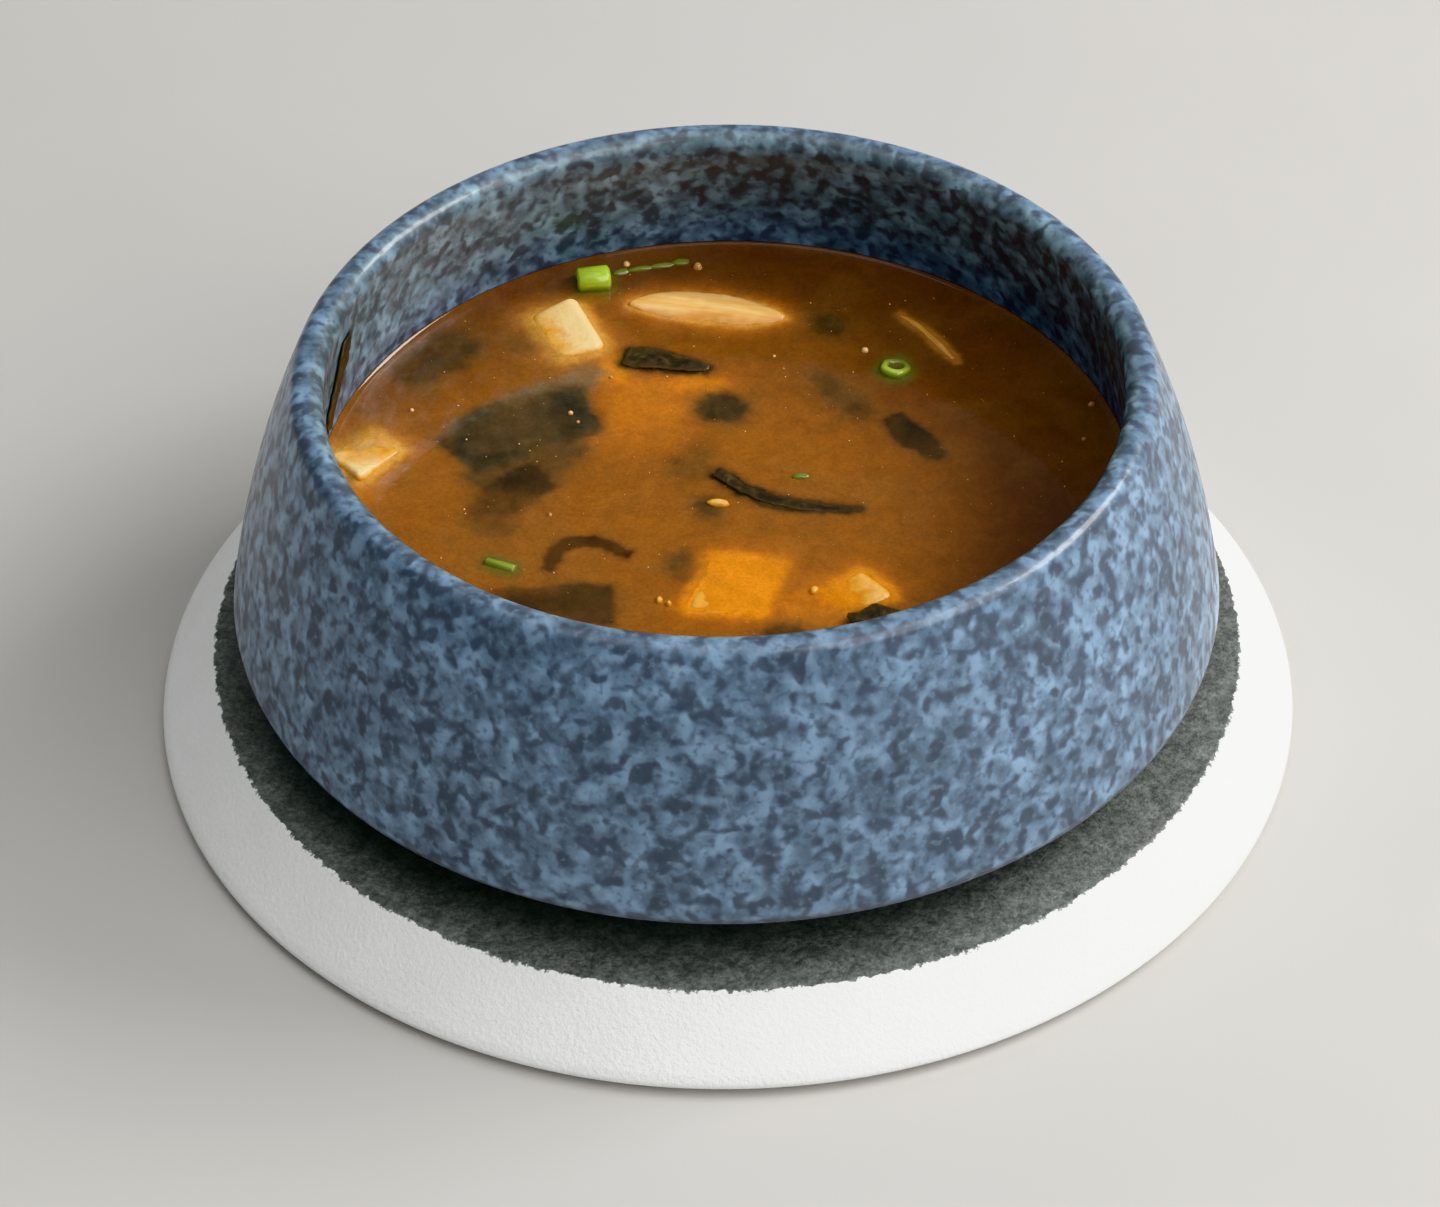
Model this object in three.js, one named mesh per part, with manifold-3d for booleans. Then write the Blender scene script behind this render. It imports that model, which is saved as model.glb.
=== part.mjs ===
// A bowl of miso soup on its saucer: a thick stoneware bowl with a rounded lip, broth up to a
// level below it, tofu, a slice of mushroom, wakame and cut scallion in the broth, and under
// the bowl a saucer with a dark glazed top and a bare, sloping white edge.
// Millimetres, +Z up, the saucer's foot on Z = 0 and the common axis on X = Y = 0. The side
// that is looked at from is -Y.

import * as THREE from 'three';
import { mergeVertices } from 'three/addons/utils/BufferGeometryUtils.js';
import { RoundedBoxGeometry } from 'three/addons/geometries/RoundedBoxGeometry.js';
import ManifoldModule from 'manifold-3d';

const manifoldModule = await ManifoldModule();
manifoldModule.setup();

// ---------------------------------------------------------------- driving sizes
const turnSteps = 64;          // facets round the bowl and the saucer
const gap = 0.3;               // clearance that touching solids keep

const saucer = {
  edgeRadius: 87.6,            // outer edge
  edgeLift: 1.5,               // the outer edge stands this far off the table
  topRadius: 78.8,             // flat glazed top
  height: 12.3,
  footRadius: 83.5,            // outside of the foot that it rests on
  footWidth: 15,
  recessDepth: 6,              // hollow inside the foot
  edgeRound: 0.8,
};

const bowl = {
  widestRadius: 75,            // at the rounded lower edge
  lowerEdgeHeight: 23,         // height of the widest line
  lowerEdgeRound: 3.2,
  lipSpineRadius: 61.5,        // middle of the round lip
  lipSpineHeight: 59.9,
  lipRound: 2.6,
  wallBulge: 1.2,              // how far the outside wall swells past a straight cone
  footRadius: 50,
  footWidth: 8,
  recessDepth: 3.4,
  floorHeight: 22.5,
  floorRadius: 53,
  wallFoot: 31,                // the straight inside wall ends here and curves to the floor
};

const soup = {
  level: 39.7,
  radius: 61.5,                // inside of the wall at that level
};

// ---------------------------------------------------------------- solids from geometry
/** Joins equal corners and drops what only a renderer needs, so that the surface is closed. */
function closed(geometry) {
  const plain = geometry.clone();
  for (const name of ['normal', 'uv']) {
    plain.deleteAttribute(name);
  }
  const merged = mergeVertices(plain, 1e-4);
  merged.clearGroups();
  return merged;
}

/** A three.js geometry as a solid that can be cut and joined. */
function solidOf(geometry) {
  const merged = closed(geometry);
  const mesh = new manifoldModule.Mesh({
    numProp: 3,
    vertProperties: new Float32Array(merged.attributes.position.array),
    triVerts: new Uint32Array(merged.index.array),
  });
  mesh.merge();
  return new manifoldModule.Manifold(mesh);
}

/** The largest connected body of a solid, as a three.js geometry. */
function geometryOf(solid) {
  const bodies = solid.decompose().sort((a, b) => b.volume() - a.volume());
  const mesh = bodies[0].getMesh();
  const geometry = new THREE.BufferGeometry();
  geometry.setAttribute('position', new THREE.BufferAttribute(mesh.vertProperties, 3));
  geometry.setIndex(new THREE.BufferAttribute(mesh.triVerts, 1));
  return geometry;
}

/** Points of a round corner: centre, radius and the angles in degrees where it starts and ends. */
function arc(r, z, radius, from, to, steps) {
  const points = [];
  for (let i = 0; i <= steps; i += 1) {
    const angle = THREE.MathUtils.degToRad(THREE.MathUtils.lerp(from, to, i / steps));
    points.push(new THREE.Vector2(r + radius * Math.cos(angle), z + radius * Math.sin(angle)));
  }
  return points;
}

const at = (r, z) => new THREE.Vector2(r, z);

/** A turned solid about +Z from a profile of (radius, height) that starts and ends on the axis. */
function turned(profile) {
  const geometry = new THREE.LatheGeometry(profile, turnSteps);
  geometry.rotateX(Math.PI / 2);
  return closed(geometry);
}

// ---------------------------------------------------------------- bowl and saucer
/** Inside radius of the bowl's straight wall at a height. */
function wallRadius(height) {
  const lipInside = bowl.lipSpineRadius - bowl.lipRound;
  const slope = (soup.radius - lipInside) / (bowl.lipSpineHeight - soup.level);
  return soup.radius + slope * (soup.level - height);
}

/** The outside wall between its two round edges, swelling by the bulge; ends left out. */
function outsideWall(from, to, steps) {
  const along = to.clone().sub(from);
  const outwards = at(along.y, -along.x).normalize();
  const middle = from.clone().lerp(to, 0.5).addScaledVector(outwards, 2 * bowl.wallBulge);
  return new THREE.QuadraticBezierCurve(from, middle, to).getPoints(steps).slice(1, -1);
}

/** The curve from the inside wall down to the floor, kept clear by inset. */
function floorCurve(inset, steps) {
  const top = at(wallRadius(bowl.wallFoot) - inset, bowl.wallFoot);
  const corner = at(wallRadius(bowl.floorHeight) - inset, bowl.floorHeight + inset);
  const end = at(bowl.floorRadius, bowl.floorHeight + inset);
  return new THREE.QuadraticBezierCurve(top, corner, end).getPoints(steps);
}

function bowlGeometry() {
  const bottom = saucer.height + gap;
  const edgeCentre = bowl.widestRadius - bowl.lowerEdgeRound;
  const underside = bowl.lowerEdgeHeight - bowl.lowerEdgeRound;
  const rise = bowl.lipSpineHeight - bowl.lowerEdgeHeight;
  const leanIn = THREE.MathUtils.radToDeg(Math.atan2(edgeCentre - bowl.lipSpineRadius, rise));
  const insideLean = THREE.MathUtils.radToDeg(
    Math.atan2(soup.radius - wallRadius(bowl.lipSpineHeight), bowl.lipSpineHeight - soup.level));
  const bulgeTurn = THREE.MathUtils.radToDeg(4 * bowl.wallBulge / rise);
  const lowerEdge = arc(edgeCentre, bowl.lowerEdgeHeight, bowl.lowerEdgeRound,
    -90, leanIn - bulgeTurn, 5);
  const lip = arc(bowl.lipSpineRadius, bowl.lipSpineHeight, bowl.lipRound,
    leanIn + bulgeTurn, 180 - insideLean, 8);
  const footInside = bowl.footRadius - bowl.footWidth;
  return turned([
    at(0, bottom + bowl.recessDepth),
    at(footInside - 2, bottom + bowl.recessDepth),
    at(footInside, bottom),
    at(bowl.footRadius, bottom),
    at(bowl.footRadius + 1.5, underside - 1.5),
    at(bowl.footRadius + 4, underside),
    ...lowerEdge,
    ...outsideWall(lowerEdge.at(-1), lip[0], 3),
    ...lip,
    at(wallRadius(soup.level), soup.level),
    ...floorCurve(0, 4),
    at(0, bowl.floorHeight),
  ]);
}

function saucerGeometry() {
  const footInside = saucer.footRadius - saucer.footWidth;
  const slope = Math.atan2(saucer.edgeRadius - saucer.topRadius, saucer.height - saucer.edgeLift);
  const edgeAngle = THREE.MathUtils.radToDeg(slope);
  const cornerRadius = saucer.topRadius - saucer.edgeRound * Math.tan((Math.PI / 2 - slope) / 2);
  return turned([
    at(0, saucer.recessDepth),
    at(footInside - 2.5, saucer.recessDepth),
    at(footInside, 0),
    at(saucer.footRadius, 0),
    at(saucer.edgeRadius - 0.9, saucer.edgeLift - 0.6),
    at(saucer.edgeRadius, saucer.edgeLift),
    at(saucer.edgeRadius - 0.2, saucer.edgeLift + 0.9),
    ...arc(cornerRadius, saucer.height - saucer.edgeRound, saucer.edgeRound, edgeAngle - 15, 90, 4),
    at(0, saucer.height),
  ]);
}

// ---------------------------------------------------------------- shapes of the food
/**
 * A closed thin sheet. place(u, v) gives its middle surface and facing(point) the way its upper
 * face looks, up unless it is given; both faces have the same facets.
 */
function sheet(place, below, above, along, across, facing = () => new THREE.Vector3(0, 0, 1)) {
  const row = across + 1;
  const layer = (along + 1) * row;
  const positions = [];
  for (const offset of [above, -below]) {
    for (let i = 0; i <= along; i += 1) {
      for (let j = 0; j <= across; j += 1) {
        const point = place(i / along, j / across);
        point.addScaledVector(facing(point), offset);
        positions.push(point.x, point.y, point.z);
      }
    }
  }
  const faces = [];
  for (let i = 0; i < along; i += 1) {
    for (let j = 0; j < across; j += 1) {
      const a = i * row + j;
      const b = a + row;
      faces.push(a, b, b + 1, a, b + 1, a + 1);
      faces.push(a + layer, b + 1 + layer, b + layer, a + layer, a + 1 + layer, b + 1 + layer);
    }
  }
  const rim = [];
  for (let i = 0; i < along; i += 1) rim.push(i * row);
  for (let j = 0; j < across; j += 1) rim.push(along * row + j);
  for (let i = along; i > 0; i -= 1) rim.push(i * row + across);
  for (let j = across; j > 0; j -= 1) rim.push(j);
  rim.forEach((a, k) => {
    const b = rim[(k + 1) % rim.length];
    faces.push(a, a + layer, b + layer, a, b + layer, b);
  });
  const geometry = new THREE.BufferGeometry();
  geometry.setAttribute('position', new THREE.Float32BufferAttribute(positions, 3));
  geometry.setIndex(faces);
  return geometry;
}

/** How far a pocket reaches above the leaf that it clears: past the broth's surface. */
function pocketHeight(room) {
  return room > 0 ? 5 : 0;
}

/**
 * A leaf or slice that floats in the broth. spine: its middle line as [x, y] points; width:
 * its width at the widest; heads: width at both ends as a share of that; lift: height of its
 * middle above the broth; tilt: rise per millimetre across; wave: height of its ripples. With
 * room, it is the flat-bottomed pocket in the broth that keeps clear of the leaf by that much.
 */
function leaf({ spine, width, heads = [0.25, 0.15], thickness = 0.7, lift = 0, tilt = 0,
  wave = 0.3, ripples = 2.2, lobes = 0.12, along = 12, across = 4 }, room = 0) {
  const curve = new THREE.CatmullRomCurve3(
    spine.map(([x, y]) => new THREE.Vector3(x, y, 0)), false, 'centripetal');
  const lowest = -wave - Math.abs(tilt) * width * (1 + lobes) / 2;
  const place = (u, v) => {
    const tangent = curve.getTangentAt(u);
    const point = curve.getPointAt(u).addScaledVector(tangent, room * (2 * u - 1));
    const belly = Math.sin(Math.PI * u) ** 0.7;
    const share = THREE.MathUtils.lerp(heads[0], heads[1], u) * (1 - belly) + belly;
    const lobe = 1 + lobes * Math.sin(9 * u + 5 * v + width);
    const side = (v - 0.5) * (width * share * lobe + 2 * room);
    const ripple = wave * Math.sin(2 * Math.PI * (ripples * u + 0.3 * v) + spine[0][0]);
    const rise = room > 0 ? lowest : tilt * side + ripple;
    return new THREE.Vector3(
      point.x - tangent.y * side,
      point.y + tangent.x * side,
      soup.level + lift + rise);
  };
  const half = thickness / 2;
  return sheet(place, half + Math.min(room, gap), half + pocketHeight(room), along, across);
}

/**
 * A soft-edged block of tofu. size: [x, y, z]; centre: [x, y]; top: height of its upper face
 * above the broth; turn, lean and pitch: degrees about Z, Y and X; skew: shear of its sides.
 */
function tofu({ size, centre, top, turn, lean = 0, pitch = 0, skew = 0, round = 1.3 }, grow = 0) {
  const [x, y, z] = size;
  const geometry = new RoundedBoxGeometry(x + 2 * grow, y + 2 * grow, z + 2 * grow, 2, round);
  const shear = new THREE.Matrix4().makeShear(skew, 0, 0, 0, 0, 0);
  const tilt = new THREE.Euler(
    THREE.MathUtils.degToRad(pitch), THREE.MathUtils.degToRad(lean), 0);
  geometry.applyMatrix4(shear);
  geometry.applyMatrix4(new THREE.Matrix4().makeRotationFromEuler(tilt));
  geometry.rotateZ(THREE.MathUtils.degToRad(turn));
  geometry.translate(centre[0], centre[1], soup.level + top - z / 2);
  return closed(geometry);
}

/** A cut scallion ring: outer and inner radius, length along its axis, and its pose. */
function scallion({ outer, inner, length, centre, lift, turn = 0, pitch = 0 }, grow = 0) {
  const bore = Math.max(inner - grow, 0.01);
  const half = length / 2 + grow;
  const reach = outer + grow;
  const profile = [at(bore, -half), at(reach, -half), at(reach, half), at(bore, half),
    at(bore, -half)];
  const geometry = new THREE.LatheGeometry(profile, 14);
  geometry.rotateX(Math.PI / 2);
  geometry.rotateY(THREE.MathUtils.degToRad(pitch));
  geometry.rotateZ(THREE.MathUtils.degToRad(turn));
  geometry.translate(centre[0], centre[1], soup.level + lift);
  return closed(geometry);
}

// ---------------------------------------------------------------- what is in the broth
const tofuPieces = {
  tofu_left: { size: [10, 8.2, 8], centre: [-54.5, 8], top: 0.6, turn: 41, lean: 6,
    pitch: -7, skew: 0.2 },
  tofu_back: { size: [8.6, 13.4, 9.5], centre: [-23.9, 38.9], top: 1.4, turn: 22, lean: -16,
    pitch: 3, round: 1.6 },
  tofu_front: { size: [11.6, 13.6, 9], centre: [1.4, -23], top: 0.15, turn: -17, lean: 3,
    pitch: -2, skew: 0.16 },
  tofu_right: { size: [8.6, 8.6, 8], centre: [19.5, -25.1], top: 0.5, turn: 38, lean: -9,
    pitch: -2, round: 2 },
};

const leaves = {
  wakame_back: { spine: [[-15.4, 32.2], [-10, 30.9], [-2.3, 28.9]], width: 6.4,
    heads: [0.9, 0.1], lift: 0.2, tilt: 0.05, wave: 0.25 },
  wakame_large: { spine: [[-40.4, 8.2], [-35.7, 12], [-30.5, 15.6], [-21, 19.2]], width: 11.5,
    heads: [0.75, 0.75], lift: -0.1, tilt: 0.03, wave: 0.45, ripples: 1.6, along: 16, across: 6 },
  wakame_lower: { spine: [[-27.5, 2.6], [-31.2, 0.2], [-34.2, -4.6], [-34.6, -10.6]], width: 7, heads: [0.7, 0.5],
    lift: -0.25, wave: 0.35 },
  wakame_small: { spine: [[-3, 20.1], [2.4, 18.1]], width: 5, heads: [0.5, 0.5], lift: -0.1,
    wave: 0.25, along: 6 },
  wakame_strip: { spine: [[-1.2, 3.1], [3.4, -1.4], [10, -4.5], [19.6, -6.1]], width: 3.2,
    heads: [0.5, 0.2], lift: 0.05, wave: 0.3, along: 14, across: 2 },
  wakame_arc: { spine: [[-26.4, -19.1], [-24.4, -13.9], [-19.8, -12.5], [-14.6, -15.5]],
    width: 1.9, heads: [0.6, 0.3], lift: 0.1, wave: 0.2, along: 14, across: 2 },
  wakame_front: { spine: [[-35, -27], [-27, -27.2], [-16.9, -27.2]], width: 9,
    heads: [0.45, 0.9], lift: -0.2, tilt: 0.04, wave: 0.3 },
  wakame_right: { spine: [[25.8, 16.1], [28.6, 11.7], [32.6, 6.5]], width: 3.9,
    heads: [0.6, 0.2], lift: 0, wave: 0.3, along: 8 },
  wakame_tofu: { spine: [[17.8, -31.9], [21.6, -30.7], [25.6, -31.3]], width: 3.4,
    heads: [0.3, 0.3], lift: 0.85, wave: 0.25, along: 8 },
  mushroom_slice: { spine: [[-15, 45.9], [-5, 44.7], [9.6, 41.7]], width: 7.2,
    heads: [0.15, 0.3], thickness: 1.5, lift: 0.05, tilt: 0.11, wave: 0.12, lobes: 0.05 },
  mushroom_thread: { spine: [[28, 42.3], [31.8, 37.5], [36, 30.3]], width: 1.2, heads: [0.4, 0.4],
    thickness: 0.6, lift: 0.05, wave: 0.12, along: 10, across: 2 },
};

const scallions = {
  scallion_chunk: { outer: 2.7, inner: 1.5, length: 5.4, centre: [-20.6, 51.3], lift: 0.7,
    turn: 8, pitch: 90 },
  scallion_ring: { outer: 2.6, inner: 1.2, length: 1.9, centre: [26.6, 28.3], lift: 0.1,
    turn: 65, pitch: 14 },
  scallion_sliver: { outer: 1.3, inner: 0.6, length: 4.8, centre: [-33.2, -18.1], lift: -0.35,
    turn: -24, pitch: 90 },
};

// small green bits that lie along the back wall, and crumbs: [x, y, length, width, turn]
const smallBits = [
  [-15.6, 54.7, 3.4, 1.9, 14],
  [-11.6, 55.5, 3.2, 1.8, 8],
  [-7.6, 56.5, 2.6, 2.1, -10],
  [11.4, 2.1, 2.6, 1.5, 5],
  [-1.0, -4.1, 4.2, 2.4, -8],
  [-4.0, 55.5, 1.5, 1.5, 0],
];

/** A small bit that lies in the broth's surface: a flattened, low ball. */
function bit([x, y, length, width, turn]) {
  const geometry = new THREE.SphereGeometry(0.5, 8, 6);
  geometry.rotateX(Math.PI / 2);
  geometry.scale(length, width, 1.8);
  geometry.rotateZ(THREE.MathUtils.degToRad(turn));
  geometry.translate(x, y, soup.level + 0.1);
  return geometry;
}

/** The right block of tofu, with a notch in its front corner where a leaf lies across it. */
function notchedTofu() {
  const notch = leaf(leaves.wakame_tofu, 0.35);
  return geometryOf(solidOf(tofu(tofuPieces.tofu_right)).subtract(solidOf(notch)));
}

/** Broth: the bowl's inside up to the level, cut clear of everything that floats in it. */
function soupGeometry() {
  const profile = [
    at(0, bowl.floorHeight + gap),
    ...floorCurve(gap, 4).reverse(),
    at(wallRadius(soup.level) - gap, soup.level),
    at(0, soup.level),
  ];
  const leafRoom = 0.5;
  let broth = solidOf(turned(profile));
  for (const bitPlace of smallBits) {
    broth = broth.add(solidOf(bit(bitPlace)));
  }
  for (const shape of Object.values(leaves)) {
    broth = broth.subtract(solidOf(leaf(shape, leafRoom)));
  }
  for (const shape of Object.values(tofuPieces)) {
    broth = broth.subtract(solidOf(tofu(shape, gap + 0.05)));
  }
  for (const shape of Object.values(scallions)) {
    broth = broth.subtract(solidOf(scallion({ ...shape, inner: 0 }, gap + 0.05)));
  }
  return geometryOf(broth);
}

/** A strand of wakame that clings to the left of the inside wall, above the broth. */
function wallStrandGeometry() {
  const strand = { from: 171, to: 163, bottom: 4.2, top: 16.2, width: 4.8, thickness: 0.5 };
  const half = strand.thickness / 2;
  const place = (u, v) => {
    const height = soup.level + THREE.MathUtils.lerp(strand.bottom, strand.top, u);
    const radius = wallRadius(height) - gap - strand.thickness;
    const share = 0.4 + 0.6 * Math.sin(Math.PI * (0.1 + 0.75 * u));
    const side = (v - 0.5) * strand.width * share + 0.5 * Math.sin(8 * u);
    const middle = THREE.MathUtils.degToRad(THREE.MathUtils.lerp(strand.from, strand.to, u));
    const angle = middle + side / radius;
    return new THREE.Vector3(radius * Math.cos(angle), radius * Math.sin(angle), height);
  };
  const inwards = (point) => new THREE.Vector3(-point.x, -point.y, 0).normalize();
  return sheet(place, half, half, 14, 2, inwards);
}

// ---------------------------------------------------------------- the scene graph
/** The material of one kind of sub-part. */
function finish(color, roughness) {
  return new THREE.MeshStandardMaterial({ color, roughness, metalness: 0 });
}

const misoSoup = new THREE.Group();

function addPart(name, geometry, material) {
  const mesh = new THREE.Mesh(closed(geometry), material);
  mesh.name = name;
  misoSoup.add(mesh);
}

addPart('saucer', saucerGeometry(), finish(0x3d423e, 0.7));
addPart('bowl', bowlGeometry(), finish(0x5b7290, 0.4));
addPart('soup', soupGeometry(), finish(0x8a4d10, 0.15));
for (const [name, shape] of Object.entries(tofuPieces)) {
  const block = name === 'tofu_right' ? notchedTofu() : tofu(shape);
  addPart(name, block, finish(0xe8c37a, 0.45));
}
for (const [name, shape] of Object.entries(leaves)) {
  const mushroom = name.startsWith('mushroom');
  addPart(name, leaf(shape), finish(mushroom ? 0xd9b276 : 0x1c2415, mushroom ? 0.5 : 0.3));
}
for (const [name, shape] of Object.entries(scallions)) {
  addPart(name, scallion(shape), finish(0x7fb51c, 0.35));
}
addPart('wakame_wall_strand', wallStrandGeometry(), finish(0x1c2415, 0.3));

export default misoSoup;
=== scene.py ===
"""Looks of a bowl of miso soup on its saucer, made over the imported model.

Sizes are in millimetres, and those of the lights and the floor in metres. +Z is up, and
the photo looks along +Y from the -Y side. Every piece rides on the one body, root.
"""
import math

import bpy
import numpy as np
from mathutils import Matrix, Vector, noise
from mathutils.bvhtree import BVHTree


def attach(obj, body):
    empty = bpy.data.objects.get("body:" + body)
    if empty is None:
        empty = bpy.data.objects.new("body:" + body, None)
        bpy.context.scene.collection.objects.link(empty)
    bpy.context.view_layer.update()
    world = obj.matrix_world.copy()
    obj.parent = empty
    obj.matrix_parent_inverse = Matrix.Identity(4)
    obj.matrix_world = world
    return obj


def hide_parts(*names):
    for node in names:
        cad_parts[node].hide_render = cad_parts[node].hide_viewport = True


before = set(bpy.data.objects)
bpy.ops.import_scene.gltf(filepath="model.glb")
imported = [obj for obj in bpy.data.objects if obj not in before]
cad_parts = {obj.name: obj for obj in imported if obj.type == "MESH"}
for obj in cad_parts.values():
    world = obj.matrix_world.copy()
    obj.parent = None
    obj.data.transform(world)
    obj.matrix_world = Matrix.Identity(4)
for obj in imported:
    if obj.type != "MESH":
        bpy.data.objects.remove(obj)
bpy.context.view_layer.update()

MM = 0.001

# ---- sizes, as in the frame
SAUCER_EDGE = 87.6
SAUCER_EDGE_LIFT = 1.5
SAUCER_TOP = 78.8
SAUCER_HEIGHT = 12.3
SAUCER_FOOT = 83.5
SAUCER_FOOT_WIDTH = 15.0
SAUCER_RECESS = 6.0

GAP = 0.3
BOWL_WIDEST = 75.0
BOWL_EDGE_HEIGHT = 23.0
BOWL_EDGE_ROUND = 3.2
BOWL_UNDERSIDE = BOWL_EDGE_HEIGHT - BOWL_EDGE_ROUND
LIP_SPINE = 61.5
LIP_HEIGHT = 59.9
LIP_ROUND = 2.6
WALL_BULGE = 1.2
BOWL_FOOT = 50.0
BOWL_FOOT_WIDTH = 8.0
BOWL_RECESS = 3.4
FLOOR_HEIGHT = 22.5
FLOOR_RADIUS = 53.0
WALL_FOOT = 31.0

LEVEL = 39.7            # height of the broth
LEVEL_RADIUS = 61.5     # inside of the wall at that height
DISH_STEPS = 256        # points round each dish


def wall_radius(height):
    """Inside radius of the bowl's straight wall at a height."""
    slope = (LEVEL_RADIUS - (LIP_SPINE - LIP_ROUND)) / (LIP_HEIGHT - LEVEL)
    return LEVEL_RADIUS + slope * (LEVEL - height)


# ---- camera, light and floor
PHOTO_WIDTH = 1440
FOCAL_PIXELS = 4373     # of the photograph, worked out from its circles
CAMERA_ELEVATION = 41.61
CAMERA_DISTANCE = 682.0
CAMERA_YAW = -0.086
CAMERA_PITCH = 0.954
CAMERA_ROLL = 0.639
LIGHT_DISTANCE = 1.3
LIGHT_AIM = (0, 0, 0.04)
FLOOR_REACH = 3


def add_camera():
    """The photograph's camera: aimed at the saucer's centre, then turned a little."""
    data = bpy.data.cameras.new("camera")
    data.sensor_width = 36
    data.lens = FOCAL_PIXELS / PHOTO_WIDTH * data.sensor_width
    data.clip_start = 0.05
    camera = bpy.data.objects.new("camera", data)
    bpy.context.scene.collection.objects.link(camera)
    elevation = math.radians(CAMERA_ELEVATION)
    back = Vector((0, -math.cos(elevation), math.sin(elevation)))
    centre = Vector((0, 0, SAUCER_EDGE_LIFT)) * MM
    turn = (Matrix.Rotation(math.pi / 2 - elevation, 4, "X")
            @ Matrix.Rotation(math.radians(-CAMERA_YAW), 4, "Y")
            @ Matrix.Rotation(math.radians(CAMERA_PITCH), 4, "X")
            @ Matrix.Rotation(math.radians(-CAMERA_ROLL), 4, "Z"))
    camera.matrix_world = Matrix.Translation(centre + back * CAMERA_DISTANCE * MM) @ turn
    bpy.context.scene.camera = camera


def add_area_light(name, azimuth, elevation, size, power):
    """A soft light aimed at the bowl; azimuth 0 is the right, 90 is behind the bowl."""
    data = bpy.data.lights.new(name, "AREA")
    data.shape = "RECTANGLE"
    data.size, data.size_y = size
    data.energy = power
    light = bpy.data.objects.new(name, data)
    bpy.context.scene.collection.objects.link(light)
    turn, rise = math.radians(azimuth), math.radians(elevation)
    flat = math.cos(rise)
    way = Vector((flat * math.cos(turn), flat * math.sin(turn), math.sin(rise)))
    light.location = Vector(LIGHT_AIM) + way * LIGHT_DISTANCE
    light.rotation_euler = way.to_track_quat("Z", "Y").to_euler()


def add_world(colour, strength):
    world = bpy.data.worlds.new("soft_room")
    bpy.context.scene.world = world
    world.use_nodes = True
    background = world.node_tree.nodes["Background"]
    background.inputs["Color"].default_value = (*colour, 1)
    background.inputs["Strength"].default_value = strength


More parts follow.
